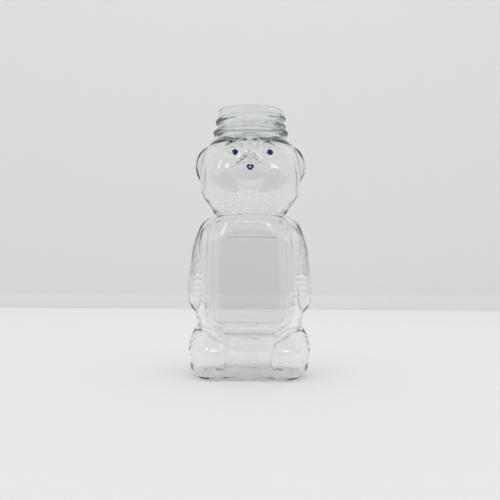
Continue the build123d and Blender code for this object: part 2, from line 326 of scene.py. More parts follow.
# How much of the camera's side is dark. The lights grow dimmer for rays that have passed through
# so many surfaces, and how bright they still are then
CAMERA_DARK = 0.95
SURFACES_PASSED, FAR_LIGHT = (3.0, 2.0), 0.1

# Lamp, in metres: sizes and place
LAMP_WIDTH, LAMP_LENGTH = 1.6, 1.2
LAMP_PLACE = (0.0, -0.3, 1.5)

# Camera: shift up as a share of the frame, and roll
CAMERA_SHIFT = 0.0256
CAMERA_ROLL = math.radians(0.31)


# Plain shape functions, on arrays of points

class Smooth:
    """Smooth curve through points, level beyond its ends."""

    def __init__(self, places, values):
        x, y = np.array(places, float), np.array(values, float)
        step, rise = np.diff(x), np.diff(y)
        n = len(x)
        m = np.zeros((n, n))
        b = np.zeros(n)
        m[0, 0] = m[-1, -1] = 1.0
        for i in range(1, n - 1):
            m[i, i - 1 : i + 2] = step[i - 1], 2 * (step[i - 1] + step[i]), step[i]
            b[i] = 6 * (rise[i] / step[i] - rise[i - 1] / step[i - 1])
        self.x, self.y, self.bend, self.step = x, y, np.linalg.solve(m, b), step

    def __call__(self, t):
        t = np.clip(t, self.x[0], self.x[-1])
        i = np.clip(np.searchsorted(self.x, t) - 1, 0, len(self.step) - 1)
        h = self.step[i]
        a, b = (self.x[i + 1] - t) / h, (t - self.x[i]) / h
        bent = ((a**3 - a) * self.bend[i] + (b**3 - b) * self.bend[i + 1]) * h * h / 6
        return a * self.y[i] + b * self.y[i + 1] + bent


def curves(table):
    """A smooth curve over the height for each column of sizes."""
    columns = list(zip(*table))
    return [Smooth(columns[0], column) for column in columns[1:]]


def ramp(low, high, value):
    """0 below low, 1 above high, and a soft step between."""
    t = np.clip((value - low) / (high - low), 0.0, 1.0)
    return t * t * (3 - 2 * t)


def between(fades, value):
    """1 between two fades, and 0 outside them."""
    start, end = fades
    return ramp(*start, value) * (1 - ramp(*end, value))


def hump(value, place, width):
    """1 at a place, and soon 0 away from it."""
    return np.exp(-(((value - place) / width) ** 2))


def join(a, b, radius):
    """Union of two forms with a fillet of about that radius."""
    h = np.clip(0.5 + 0.5 * (b - a) / radius, 0.0, 1.0)
    return b + (a - b) * h - radius * h * (1 - h)


def meet(form, other, fillet, fold, line_depth, where=1.0, soft=0.0):
    """Union of two lobes, with a fillet and the line that is sunk where they meet."""
    radius, share, depth = fillet
    line = depth * line_depth * where * hump(form - other, 0.0, SEAM_WIDTH)
    return join(form, other, radius + share * fold + soft) + line


def common(a, b, radius):
    """What two forms share, with a rounded edge."""
    return -join(-a, -b, radius)


def ellipse(x, y, half_x, half_y):
    """Distance outside an upright elliptic column."""
    k = np.hypot(x / half_x, y / half_y)
    return k * (k - 1) / np.maximum(np.hypot(x / half_x**2, y / half_y**2), 1e-6)


def lobe(x, y, z, middle, half):
    """Distance outside an ellipsoid."""
    x, y, z = x - middle[0], y - middle[1], z - middle[2]
    k = np.sqrt((x / half[0]) ** 2 + (y / half[1]) ** 2 + (z / half[2]) ** 2)
    steep = np.sqrt((x / half[0] ** 2) ** 2 + (y / half[1] ** 2) ** 2 + (z / half[2] ** 2) ** 2)
    return k * (k - 1) / np.maximum(steep, 1e-6)


def ball(x, y, z, middle, radius):
    """Distance outside a ball."""
    return np.sqrt((x - middle[0]) ** 2 + (y - middle[1]) ** 2 + (z - middle[2]) ** 2) - radius


def rounded(x, y, half_x, half_y, corner):
    """Distance outside a rectangle with round corners."""
    u, v = np.abs(x) - half_x + corner, np.abs(y) - half_y + corner
    return np.hypot(np.maximum(u, 0), np.maximum(v, 0)) + np.minimum(np.maximum(u, v), 0) - corner


def stroke(x, z, start, end):
    """Distance to a straight stroke in the front view."""
    dx, dz = end[0] - start[0], end[1] - start[1]
    t = np.clip(((x - start[0]) * dx + (z - start[1]) * dz) / (dx * dx + dz * dz), 0.0, 1.0)
    return np.hypot(x - start[0] - t * dx, z - start[1] - t * dz)


TORSO_CURVES, HEAD_CURVES = curves(TORSO), curves(HEAD_LOBE)
ARM_CURVES, THIGH_CURVES, FOOT_CURVES = curves(ARM), curves(THIGH), curves(FOOT)


# The bear's lobes and marks

def label_distance(x, z):
    """Distance outside the front label panel's outline."""
    middle, half = (LABEL_LOW + LABEL_HIGH) / 2, (LABEL_HIGH - LABEL_LOW) / 2
    bow = LABEL_BOW * ((z - middle) / half) ** 2
    arch = LABEL_ARCH * (1 - (x / (LABEL_HALF - LABEL_BOW)) ** 2) * ramp(0.0, half, z - middle)
    return rounded(np.abs(x) + bow, z - middle - arch, LABEL_HALF, half, LABEL_CORNER)


def back_label_distance(x, z):
    """Distance outside the back label panel's outline."""
    middle, half = (BACK_LOW + BACK_HIGH) / 2, (BACK_HIGH - BACK_LOW) / 2
    return rounded(x, z - middle, BACK_HALF, half, BACK_CORNER)


def torso(x, y, z, ledge, blur):
    """Belly with the sunk front label panel and the flat back one."""
    half_x, half_y, corner = (curve(z) for curve in TORSO_CURVES)
    square = ramp(*SIDE_FADE, y) * between(SHOULDERS, z)
    lean = LEAN * ramp(*SIDE_FADE, -y) * np.clip((LEAN_TOP - z) / LEAN_HEIGHT, 0.0, 1.0)
    half_y = half_y + SHOULDER_DEPTH * square + lean
    form = rounded(x, y, half_x, half_y, corner - SHOULDER_CORNER * square)
    outline = label_distance(x, z)
    sunk = 0.0
    for place, soft, share, depth in LABEL_STEPS:
        reach = soft + share * blur
        sunk = sunk + 0.5 * (1 - ramp(place - reach, place + reach, outline))
        if not blur:
            sunk = sunk + depth * hump(outline, place, LABEL_LINE)
    form = form + ledge * sunk * ramp(*LABEL_FADE, -y)
    flat = y - BACK_FLAT - BACK_SLOPE * np.maximum(back_label_distance(x, z), 0.0)
    form = common(form, flat, BACK_EDGE)
    return common(form, z - TORSO[-1][0], LOBE_EDGE)


def head(x, y, z):
    """Head without its face and ears."""
    half_x, half_y, corner = (curve(z) for curve in HEAD_CURVES)
    return common(rounded(x, y, half_x, half_y, corner), HEAD_LOBE[0][0] - z, LOBE_EDGE)


def muzzle(x, y, z, blur):
    """Snout, full under a ridge that runs down from its top to both sides."""
    middle, (_, _, half) = MUZZLE
    rise = z - middle[2]
    full = middle[2] + np.where(rise > 0, MUZZLE_FULL * rise * np.abs(rise) / half, rise)
    across, along, up = RIDGE_SLOPES
    ridge = across * np.abs(x) + along * (y - RIDGE_FRONT) + up * z - RIDGE_RISE
    return common(lobe(x, y, full, *MUZZLE), ridge, RIDGE_EDGE + blur)


def arm(x, y, z):
    """Both arms, which end in rounded hands."""
    reach, half_x, half_y, forward = (curve(z) for curve in ARM_CURVES)
    form = ellipse(np.abs(x) - reach, y + forward, half_x, half_y)
    return common(form, ARM[0][0] - z, HAND_EDGE)


def leg(x, y, z):
    """Both thighs, each with its foot in front."""
    reach, half_x, half_y = (curve(z) for curve in THIGH_CURVES)
    thigh = ellipse(np.abs(x) - reach, y + THIGH_FORWARD, half_x, half_y)
    thigh = common(thigh, z - THIGH[-1][0], THIGH_EDGE)
    reach, half_x, half_y, corner = (curve(z) for curve in FOOT_CURVES)
    corner = np.where(np.abs(x) > reach, half_x, corner)
    foot = rounded(np.abs(x) - reach, y + FOOT_FORWARD, half_x, half_y, corner)
    foot = common(foot, z - FOOT[-1][0], FOOT_EDGE)
    return join(thigh, foot, FOOT_FILLET)


def ear(x, y, z):
    """Both ears, tilted outwards."""
    (mx, my, mz), half = EAR
    u, w = np.abs(x) - mx, z - mz
    c, s = math.cos(EAR_TILT), math.sin(EAR_TILT)
    return lobe(c * u + s * w, y - my, c * w - s * u, (0, 0, 0), half)


def face_marks(x, y, z):
    """How far creases, the lower lip, the eye rings and the bridge raise the face's wall."""
    side = np.abs(x)
    mark = 0.0
    for start, end, rise, width in FACE_STROKES:
        mark = mark + rise * hump(stroke(side, z, start, end), 0.0, width)
    smile = z - LIP_HEIGHT - SMILE_RISE * (x / SMILE_WIDTH) ** 2
    lip = np.sqrt(np.clip(1 - (x / LIP_HALF) ** 2, 0.0, 1.0))
    mark = mark + LIP_RISE * lip * (1 - ramp(-LIP_EDGE, LIP_EDGE, smile)) * ramp(*LIP_FADE, smile)
    socket = np.hypot(side - SOCKET[0], z - SOCKET[1])
    for radius, width, rise in SOCKET_RINGS:
        mark = mark + rise * hump(socket, radius, width)
    mark = mark + BRIDGE_RISE * hump(x, 0.0, BRIDGE_WIDTH) * between(BRIDGE, z)
    return mark * ramp(*FACE_FADE, -y)


def body_marks(x, y, z):
    """How far the hip ledges and the fingers raise the body's wall."""
    side = np.abs(x)
    c, s = math.cos(HIP_TILT), math.sin(HIP_TILT)
    u, v = side - HIP[0], z - HIP[1]
    hip = np.hypot((c * u + s * v) / HIP_HALF[0], (c * v - s * u) / HIP_HALF[1])
    mark = -HIP_DEPTH * (1 - ramp(*HIP_EDGE, hip)) * ramp(*HIP_FADE, -y)
    hand = between(HAND_ACROSS, side) * between(HAND_UP, z) * ramp(*HAND_FADE, -y)
    return mark + FINGER_DEPTH * hand * np.cos(2 * math.pi * (z - FINGER_LOW) / FINGER_PITCH)


def fur(x, y, z, depth):
    """Strokes of fur that are moulded into the cheeks, the nape and the thighs."""
    along = np.arctan2(x, -y) * FUR_RADIUS
    side = np.abs(x)
    front, rear = ramp(*FUR_SIDES[0], -y), ramp(*FUR_SIDES[1], y)
    wave = along / FUR_PITCH
    for size, per_height, per_width in FUR_WAVES:
        wave = wave + size * np.sin(z * per_height + along * per_width)
    broken = 0.5 + 0.5 * np.sin(z * FUR_BREAK[0] + FUR_BREAK[1] * np.round(wave))
    groove = (1 - ramp(*FUR_GROOVE, np.abs(wave - np.round(wave)))) * ramp(*FUR_BROKEN, broken)
    cheek = front * between(CHEEK_ACROSS, side) * between(CHEEK_UP, z)
    nape = rear * (1 - ramp(*NAPE_ACROSS, side)) * between(NAPE_UP, z)
    size, per_width, per_height = THIGH_WAVE
    slant = (side * THIGH_SLANT[0] + z * THIGH_SLANT[1]) / THIGH_PITCH
    slant = slant + size * np.sin(side * per_width - z * per_height)
    thigh_groove = 1 - ramp(*THIGH_GROOVE, np.abs(slant - np.round(slant)))
    thigh = front * ramp(*THIGH_ACROSS, side) * between(THIGH_UP, z)
    strokes = cheek * groove + NAPE_SHARE * nape * groove + THIGH_SHARE * thigh * thigh_groove
    return -depth * strokes


def bear(x, y, z, settings, fine=True, skin=0.0):
    """Distance outside the blown bear, drawn in by a skin, and less crisp unless fine."""
    side = np.abs(x)
    blur = 0.0 if fine else settings.blur
    fold = settings.fold + blur
    line_depth = SEAM_DEPTH * settings.crease if fine else 0.0
    ridge = ramp(*RIDGE_ACROSS, side) * ramp(*RIDGE_UP, z)
    skull = meet(head(x, y, z), muzzle(x, y, z, blur), MUZZLE_JOIN, fold, line_depth, ridge)
    skull = meet(skull, ball(x, y, z, *NOSE), NOSE_JOIN, fold, line_depth)
    skull = meet(skull, ball(side, y, z, *EYE), EYE_JOIN, fold, line_depth)
    skull = meet(skull, ear(x, y, z), EAR_JOIN, fold, line_depth)
    inner = (1 - ramp(*LEG_ACROSS, side)) * ramp(*LEG_FRONT, -y)
    soft = LEG_SOFT * ramp(*LEG_SOFT_FADE, y)
    form = torso(x, y, z, settings.ledge, blur)
    form = meet(form, arm(x, y, z), ARM_JOIN, fold, line_depth)
    form = meet(form, leg(x, y, z), LEG_JOIN, fold, line_depth, inner, soft)
    form = meet(form, lobe(x, y, z, *TAIL), TAIL_JOIN, fold, line_depth)
    form = meet(form, skull, WAIST_JOIN, fold, line_depth)
    neck = common(np.hypot(x, y) - NECK_FOOT, CROWN - NECK_ROOT - z, LOBE_EDGE)
    form = meet(form, neck, NECK_JOIN, fold, line_depth)
    form = form - settings.crease / (1 + blur) * (face_marks(x, y, z) + body_marks(x, y, z))
    if fine:
        form = form - fur(x, y, z, settings.fur)
    push = (PUSH_RADIUS**2 + PUSH_RISE**2) / (2 * PUSH_RISE)
    pushed = push - np.sqrt(x * x + y * y + (z - PUSH_RISE + push) ** 2)
    form = common(form + skin, pushed + skin, PUSH_EDGE)
    floor = settings.base_wall if skin else 0.0
    return common(form, floor - z, BASE_EDGE)


# Rays and meshes

def halve(beyond, low, high):
    """Where the wall lies between low and high; beyond tells which places are past it."""
    for _ in range(HALVINGS):
        middle = 0.5 * (low + high)
        past = beyond(middle)
        low, high = np.where(past, low, middle), np.where(past, middle, high)
    return 0.5 * (low + high)


def cast(start, direction, reach, settings, fine, skin):
    """Points at which rays from start come out of the bear's wall."""

    def beyond(distance):
        p = start + direction * distance[..., None]
        return bear(p[..., 0], p[..., 1], p[..., 2], settings, fine, skin) > 0

    near = np.full(direction.shape[:-1], RAY_START)
    return start + direction * halve(beyond, near, np.full_like(near, reach))[..., None]


def spaced(places, density, count):
    """Places spread so that they lie closer together where density is high."""
    total = np.concatenate([[0.0], np.cumsum(0.5 * (density[1:] + density[:-1]))])
    return np.interp(np.arange(count) / count * total[-1], total, places)


def ring_angles(count):
    """Angles round the bottle, closer together in front and where the label and the legs end."""
    even = np.linspace(0, 2 * math.pi, SAMPLES)
    front = np.degrees(np.arccos(np.clip(-np.sin(even), -1.0, 1.0)))
    density = 1.0 + FACE_COLUMNS * (1 - ramp(*FACE_ANGLES, front))
    for place, width, more in DENSE_ANGLES:
        density = density + more * hump(front, place, width)
    return spaced(even, density, count)


def ring_heights(low, high, count):
    """Heights up the bear, closer together at the label's ends, the waist and the face."""
    even = np.linspace(low, high, SAMPLES)
    density = 1.0 + FACE_ROWS * between(FACE_HEIGHTS, even)
    density += LEG_ROWS * (1 - ramp(*LEG_HEIGHTS, even))
    for place, width, more in DENSE_HEIGHTS:
        density = density + more * hump(even, place, width)
    return spaced(even, density, count)


def fan_angles(steep, start, shallow):
    """How far below the level the rays over the base point: some steeply, then the shallow ones."""
    turns = [np.linspace(*FAN_STEEP, steep), np.linspace(start, 0.0, shallow)]
    return np.radians(np.concatenate(turns))


def bear_rows(angles, fan, heights, settings, fine, skin):
    """Rows of points up the bear: a fan of rays from one height, and level rays above it."""
    flat = np.stack([np.cos(angles), np.sin(angles), np.zeros_like(angles)], -1)
    down = np.array([0.0, 0.0, -1.0])
    sweep = np.array([flat * math.cos(a) + down * math.sin(a) for a in fan])
    middle = np.zeros_like(sweep) + (0.0, 0.0, FAN_HEIGHT)
    level = np.repeat(flat[None], len(heights), 0)
    axis = np.zeros_like(level)
    axis[..., 2] = np.array(heights)[:, None]
    under = cast(middle, sweep, FAN_REACH, settings, fine, skin)
    return np.concatenate([under, cast(axis, level, LEVEL_REACH, settings, fine, skin)])


def thread_rise(angles, heights):
    """How far the screw thread stands out from the neck's wall."""
    turn = (angles[None, :] - THREAD_ANGLE) / (2 * math.pi)
    turn = turn - np.floor(turn)
    start, full = THREAD_RUN_OUT
    rise = np.zeros((len(heights), len(angles)))
    for lap in (0, 1):
        place = turn + lap
        drop = np.abs(np.asarray(heights)[:, None] - THREAD_START - PITCH * place)
        ends = between(((start, full), (THREAD_TURNS - full, THREAD_TURNS - start)), place)
        rise = np.maximum(rise, (THREAD - FINISH) * (1 - ramp(*THREAD_FLANK, drop)) * ends)
    return rise


def arc(middle, radius, start, end, count):
    """Points on an arc, with its ends in degrees."""
    turns = np.radians(np.linspace(start, end, count))
    return [(middle[0] + radius * math.cos(a), middle[1] + radius * math.sin(a)) for a in turns]


def neck_profile():
    """Radius and height up the outside of the neck, over the rim and down the bore."""
    low, high = BEAD - BEAD_RADIUS, BEAD + BEAD_RADIUS
    outline = [(NECK_FOOT, CROWN - 0.02), (NECK_FOOT + 0.01, low - 0.12)]
    outline += [(NECK_FOOT + 0.09, low - 0.08), (FINISH, low), (FINISH + 0.5, low)]
    outline += arc((BEAD_MIDDLE, BEAD), BEAD_RADIUS, -90, 90, 13)
    outline += [(FINISH + 0.5, high), (FINISH + 0.2, high + 0.03), (FINISH + 0.05, high + 0.15)]
    wall = [(FINISH, h) for h in np.linspace(high + 0.45, RIM - 0.4, 34)]
    over = arc((FINISH - RIM_ROUND, RIM - RIM_ROUND), RIM_ROUND, 0, 90, 5) + [(LAND[1], RIM)]
    bore = [(LAND[0], RIM)] + arc((BORE + RIM_ROUND, RIM - RIM_ROUND), RIM_ROUND, 90, 180, 4)
    bore += [(BORE, h) for h in np.linspace(RIM - 1.2, CROWN + 0.4, 8)]
    return outline, wall, over, bore


def turned(profile, angles):
    """Rows of points of a profile that is turned round the axis."""
    profile = np.array(profile)
    flat = np.stack([np.cos(angles), np.sin(angles)], -1)
    across = profile[:, 0][:, None, None] * flat[None]
    return np.concatenate([across, np.repeat(profile[:, 1][:, None, None], len(angles), 1)], -1)


def band_faces(first, rows, count):
    """Quads between closed rows of points."""
    ring = np.arange(count)
    a = first + np.arange(rows - 1)[:, None] * count + ring
    b = first + np.arange(rows - 1)[:, None] * count + (ring + 1) % count
    return np.stack([a, b, b + count, a + count], -1).reshape(-1, 4).tolist()


def shell_mesh(name, outside, inside, poles):
    """Closed mesh of rows up the outside and down the inside, which has every second column."""
    over, around = outside.shape[:2]
    under, half = inside.shape[:2]
    points = np.concatenate([outside.reshape(-1, 3), inside.reshape(-1, 3), np.array(poles)]) * MM
    top, inner = (over - 1) * around, over * around
    faces = band_faces(0, over, around) + band_faces(inner, under, half)
    ring = np.arange(half)
    after = (ring + 1) % half
    rim = [top + 2 * ring, top + 2 * ring + 1, top + 2 * after, inner + after, inner + ring]
    faces += np.stack(rim, -1).tolist()
    pole, wide = len(points) - 2, np.arange(around)
    faces += np.stack([np.full(around, pole), (wide + 1) % around, wide], -1).tolist()
    last = inner + (under - 1) * half
    faces += np.stack([np.full(half, pole + 1), last + ring, last + after], -1).tolist()
    mesh = bpy.data.meshes.new(name)
    mesh.from_pydata(points.tolist(), [], faces)
    mesh.validate()
    for polygon in mesh.polygons:
        polygon.use_smooth = True
    shown = np.ones(len(points), np.float32)
    shown[inner:pole] = 0.0
    shown[-1] = 0.0
    mesh.attributes.new("outside", "FLOAT", "POINT").data.foreach_set("value", shown)
    return mesh


def bottle_mesh(settings):
    """The blown wall, outside and inside, in one closed skin."""
    angles = ring_angles(2 * (settings.around // 2))
    inner_angles = angles[::2]
    outline, wall, over, bore = neck_profile()
    heights = ring_heights(FAN_HEIGHT + 0.4, CROWN - 0.1, settings.up)
    outside = bear_rows(angles, fan_angles(*FAN_OUTSIDE), heights, settings, True, 0.0)
    heights = ring_heights(FAN_HEIGHT + 0.9, CROWN - 0.6, settings.up_inside)
    fan = fan_angles(*FAN_INSIDE)
    inside = bear_rows(inner_angles, fan, heights, settings, False, settings.wall)
    inside[-1, :, :2] = BORE * np.stack([np.cos(inner_angles), np.sin(inner_angles)], -1)
    screw = turned(wall, angles)
    screw[..., :2] *= (1 + thread_rise(angles, [h for _, h in wall]) / FINISH)[..., None]
    rows = np.concatenate([outside, turned(outline, angles), screw, turned(over, angles)])
    inner_rows = np.concatenate([turned(bore, inner_angles), inside[::-1]])
    poles = [(0, 0, PUSH_RISE), (0, 0, PUSH_RISE + settings.base_wall)]
    return shell_mesh("bottle_shell", rows, inner_rows, poles)


def left_eye_edge(turn):
    """Radius of the left eye's edge, a little uneven."""
    return 1.4 + 0.09 * np.sin(3 * turn + 0.5) + 0.06 * np.sin(5 * turn)


def right_eye_edge(turn):
    """Radius of the right eye's edge, drawn out to its right."""
    return 1.38 + 0.28 * np.maximum(np.cos(turn + 0.4), 0) ** 3 + 0.08 * np.sin(4 * turn)


def eye_middle(turn):
    """Radius of the eyes' middles, nearly closed."""
    return np.full_like(turn, 0.02)


def nose_edge(turn):
    """Radius of the nose's edge, a small shield."""
    return 1.58 + 0.2 * np.cos(2 * turn) + 0.22 * np.sin(3 * turn)


def nose_hole(turn):
    """Radius of the nose's bare middle."""
    return 0.46 + 0.2 * np.cos(2 * turn)


def ink_mesh(name, shape, thickness, middle, edge, hole):
    """Patch of ink on the face; edge and hole give its radii round a middle in the front view."""
    turn = np.linspace(0, 2 * math.pi, INK_COLUMNS, endpoint=False)
    share = np.linspace(0.0, 1.0, INK_RINGS)[:, None]
    radius = hole(turn)[None] * (1 - share) + edge(turn)[None] * share
    x, z = middle[0] + radius * np.cos(turn), middle[1] + radius * np.sin(turn)

    def outside(dx, dy, dz):
        return bear(x + dx, y + dy, z + dz, shape)

    front = np.full(x.shape, INK_FRONT)
    y = halve(lambda y: bear(x, y, z, shape) < 0, front, np.full_like(front, INK_BACK))
    steps = INK_SLOPE_STEP * np.eye(3)
    normal = np.stack([outside(*step) - outside(*-step) for step in steps], -1)
    normal /= np.linalg.norm(normal, axis=-1, keepdims=True)
    wall = np.stack([x, y, z], -1)
    thin = np.minimum(1.0, 4.0 * np.minimum(share, 1 - share) + 0.25)[..., None]
    top, under = wall + normal * (INK_OVER + thickness * thin), wall + normal * INK_UNDER
    rows = np.concatenate([top, under[::-1]])
    points = rows.reshape(-1, 3) * MM
    faces = np.array(band_faces(0, len(rows) + 1, INK_COLUMNS)) % len(points)
    mesh = bpy.data.meshes.new(name)
    mesh.from_pydata(points.tolist(), [], faces.tolist())
    return mesh


# Materials

class Nodes:
    """Short way to add and link the nodes of a material or of the room's light."""

    def __init__(self, name, world=False):
        self.owner = (bpy.data.worlds if world else bpy.data.materials).new(name)
        self.owner.use_nodes = True
        self.tree = self.owner.node_tree
        self.tree.nodes.clear()

    def add(self, kind, values=(), **settings):
        """New node, with values or other nodes' outputs for its sockets, and its other settings."""
        node = self.tree.nodes.new(kind)
        for key, value in settings.items():
            setattr(node, key, value)
        for key, value in dict(values).items():
            if isinstance(value, bpy.types.NodeSocket):
                self.tree.links.new(value, node.inputs[key])
            else:
                node.inputs[key].default_value = value
        return node

    def maths(self, operation, *values):
        """Result of a calculation with numbers and other nodes' outputs."""
        return self.add("ShaderNodeMath", enumerate(values), operation=operation).outputs["Value"]

    def product(self, first, *others):
        """All of them, multiplied."""
        for other in others:
            first = self.maths("MULTIPLY", first, other)
        return first

    def step(self, value, low, high):
        """0 on low's side, 1 on high's, and a soft step between."""
        values = {"Value": value, "From Min": low, "From Max": high}
        node = self.add("ShaderNodeMapRange", values, interpolation_type="SMOOTHSTEP")
        return node.outputs["Result"]

    def mix(self, share, first, second):
        """Two shaders mixed, with the second one's share."""
        values = {"Fac": share, 1: first.outputs[0], 2: second.outputs[0]}
        return self.add("ShaderNodeMixShader", values)


def stipple(n, place):
    """Heights of the dots moulded under the chin, which also place their painted highlights, and of
    the pits in the sleeves.
    """
    split = n.add("ShaderNodeSeparateXYZ", {"Vector": place})
    x, y, z = (split.outputs[axis] for axis in "XYZ")
    side = n.maths("ABSOLUTE", x)
    arch = n.maths("ADD", z, n.product(x, x, BIB_ARCH))
    bib = n.product(
        n.step(y, *BIB_FRONT), n.step(side, *BIB_SIDE), n.step(z, *BIB_LOW), n.step(arch, *BIB_TOP)
    )
    sleeve = n.product(n.step(side, *SLEEVE_SIDE), n.step(z, *SLEEVE_LOW), n.step(z, *SLEEVE_HIGH))
    cells = n.add("ShaderNodeTexVoronoi", {"Vector": place, "Scale": 600.0, "Randomness": 0.8})
    small = n.add("ShaderNodeTexVoronoi", {"Vector": place, "Scale": 780.0, "Randomness": 0.9})
    dots = n.product(n.step(cells.outputs["Distance"], *DOT_EDGE), bib)
    pits = n.product(n.step(small.outputs["Distance"], *PIT_EDGE), sleeve, PIT_HEIGHT)
    return dots, pits


def clear_plastic(look):
    """Clear blown PET: light green in its depth, faintly wavy, and stippled on the outside, with
    white painted highlights on the dots under the chin.
    """
    n = Nodes("clear_pet")
    place = n.add("ShaderNodeTexCoord").outputs["Object"]
    waves = {"Vector": place, "Scale": 60.0, "Detail": 1.0, "Roughness": 0.4}
    broad = n.add("ShaderNodeTexNoise", waves).outputs["Fac"]
    outer = n.add("ShaderNodeAttribute", attribute_name="outside").outputs["Fac"]
    dots, pits = (n.product(mark, outer) for mark in stipple(n, place))
    height = n.maths("ADD", broad, n.maths("MULTIPLY_ADD", dots, DOT_HEIGHT, pits))
    relief = {"Strength": look.waviness, "Distance": 0.0002, "Height": height}
    normal = n.add("ShaderNodeBump", relief).outputs["Normal"]
    clear = {"Base Color": (1.0, 1.0, 1.0, 1.0), "Transmission Weight": 1.0}
    clear |= {"Roughness": look.haze, "IOR": look.ior, "Normal": normal}
    wall = n.add("ShaderNodeBsdfPrincipled", clear)
    # White diffuse on the dots under the chin is a painted highlight, standing in for glints of the
    # strip light in the stipple
    painted_glint = n.add("ShaderNodeBsdfDiffuse", {"Color": (0.95, 0.95, 0.95, 1.0)})
    surface = n.mix(n.product(dots, look.painted_glint), wall, painted_glint)
    path = n.add("ShaderNodeLightPath")
    through = n.add("ShaderNodeBsdfTransparent", {"Color": (*look.shade, 1.0)})
    surface = n.mix(path.outputs["Is Shadow Ray"], surface, through)
    green = {"Color": (*look.tint, 1.0), "Density": look.density}
    depth = n.add("ShaderNodeVolumeAbsorption", green)
    ends = {"Surface": surface.outputs["Shader"], "Volume": depth.outputs["Volume"]}
    n.add("ShaderNodeOutputMaterial", ends)
    return n.owner


def printed_ink(ink):
    """Dark blue pad-printed ink, a little thinner and bluer in spots, with a soft sheen."""
    n = Nodes("blue_ink")
    place = n.add("ShaderNodeTexCoord").outputs["Object"]
    spots = {"Vector": place, "Scale": 1400.0, "Detail": 3.0, "Roughness": 0.6}
    cloud = n.add("ShaderNodeTexNoise", spots).outputs["Fac"]
    tone = n.add("ShaderNodeValToRGB", {"Fac": cloud})
    full, thin = tone.color_ramp.elements
    full.position, full.color = 0.42, (*ink.dark, 1.0)
    thin.position, thin.color = 0.68, (*ink.thin, 1.0)
    sheen = {"Value": cloud, "From Min": 0.3, "From Max": 0.7, "To Min": 0.32, "To Max": 0.55}
    rough = n.add("ShaderNodeMapRange", sheen)
    bump = n.add("ShaderNodeBump", {"Strength": 0.4, "Distance": 0.00005, "Height": cloud})
    look = {"Base Color": tone.outputs["Color"], "Roughness": rough.outputs["Result"]}
    look |= {"IOR": 1.5, "Normal": bump.outputs["Normal"]}
    body = n.add("ShaderNodeBsdfPrincipled", look)
    n.add("ShaderNodeOutputMaterial", {"Surface": body.outputs["BSDF"]})
    return n.owner


def shaded(colour, share):
    """A darker shade of a colour, as a node takes it."""
    return (*(share * c for c in colour), 1.0)


def sweep_paper(stage):
    """Pale card of the sweep: brighter on the table, with painted shade that makes it darker
    towards the table's front and at the foot of the backdrop, where it turns up.
    """
    n = Nodes("sweep_card")
    place = n.add("ShaderNodeTexCoord")
    split = n.add("ShaderNodeSeparateXYZ", {"Vector": place.outputs["Object"]})
    limits = {"From Min": CARD_DEPTH[0], "From Max": CARD_DEPTH[1]}
    depth = n.add("ShaderNodeMapRange", {"Value": split.outputs["Y"], **limits})
    # Painted shade: these stops darken the card towards the table's front and at the foot of the
    # backdrop
    shade_stops = [(at, shaded(stage.table, share)) for at, share in TABLE_SHADE]
    shade_stops += [(at, shaded(stage.backdrop, share)) for at, share in BACKDROP_SHADE]
    tone = n.add("ShaderNodeValToRGB", {"Fac": depth.outputs["Result"]})
    first, last = tone.color_ramp.elements
    first.position, first.color = shade_stops[0]
    last.position, last.color = shade_stops[-1]
    for at, colour in shade_stops[1:-1]:
        tone.color_ramp.elements.new(at).color = colour
    card = n.add("ShaderNodeBsdfDiffuse", {"Color": tone.outputs["Color"]})
    n.add("ShaderNodeOutputMaterial", {"Surface": card.outputs["BSDF"]})
    return n.owner


# Settings that a user would change

class BearBottleShape(bpy.types.PropertyGroup):
    """Sizes of the blown wall and of its relief"""

    wall: FloatProperty(
        name="Wall", description="Thickness of the blown wall, in millimetres",
        default=0.55, min=0.2, max=1.5,
    )
    base_wall: FloatProperty(
        name="Base wall", description="Thickness of the base, in millimetres",
        default=0.9, min=0.5, max=3.0,
    )
    ledge: FloatProperty(
        name="Label ledge", description="How far the front label panel is sunk, in millimetres",
        default=0.7, min=0.0, max=2.0,
    )
    crease: FloatProperty(
        name="Creases", description="Depth of the face, hip and finger creases",
        default=1.0, min=0.0, max=2.0, subtype="FACTOR",
    )
    fur: FloatProperty(
        name="Fur", description="Depth of the moulded fur, in millimetres",
        default=0.1, min=0.0, max=1.0,
    )
    fold: FloatProperty(
        name="Folds", description="Roundness of the folds between the lobes, in millimetres",
        default=1.0, min=0.2, max=3.0,
    )
    blur: FloatProperty(
        name="Inner softness",
        description="How much rounder the inside is at creases, in millimetres",
        default=1.1, min=0.0, max=3.0,
    )
    around: IntProperty(
        name="Columns", description="Points round the bottle", default=304, min=96, max=512
    )
    up: IntProperty(
        name="Rows", description="Rows of points up the outside", default=190, min=60, max=400
    )
    up_inside: IntProperty(
        name="Inner rows", description="Rows of points up the inside", default=60, min=30, max=300
    )


class BearPlastic(bpy.types.PropertyGroup):
    """Look of the clear plastic"""

    tint: FloatVectorProperty(
        name="Depth colour", description="Colour that the plastic takes on in its depth",
        default=(0.30, 0.56, 0.42), subtype="COLOR", min=0.0, max=1.0,
    )
    density: FloatProperty(
        name="Depth", description="How fast the plastic takes on its depth colour, per metre",
        default=28.0, min=0.0, max=500.0,
    )
    shade: FloatVectorProperty(
        name="Shade", description="Colour of the light that falls through the wall",
        default=(0.985, 0.99, 0.987), subtype="COLOR", min=0.0, max=1.0,
    )
    ior: FloatProperty(
        name="IOR", description="Refractive index of PET", default=1.575, min=1.0, max=2.0
    )
    haze: FloatProperty(
        name="Haze", description="Roughness of the blown surface",
        default=0.0, min=0.0, max=1.0, subtype="FACTOR",
    )
    # Share of white on the dots under the chin: a painted highlight that stands in for their glints
    painted_glint: FloatProperty(
        name="Frost", description="How frosted the dots under the chin are",
        default=1.0, min=0.0, max=1.0, subtype="FACTOR",
    )
    waviness: FloatProperty(
        name="Relief", description="Strength of the small waves and the stipple",
        default=0.4, min=0.0, max=1.0, subtype="FACTOR",
    )


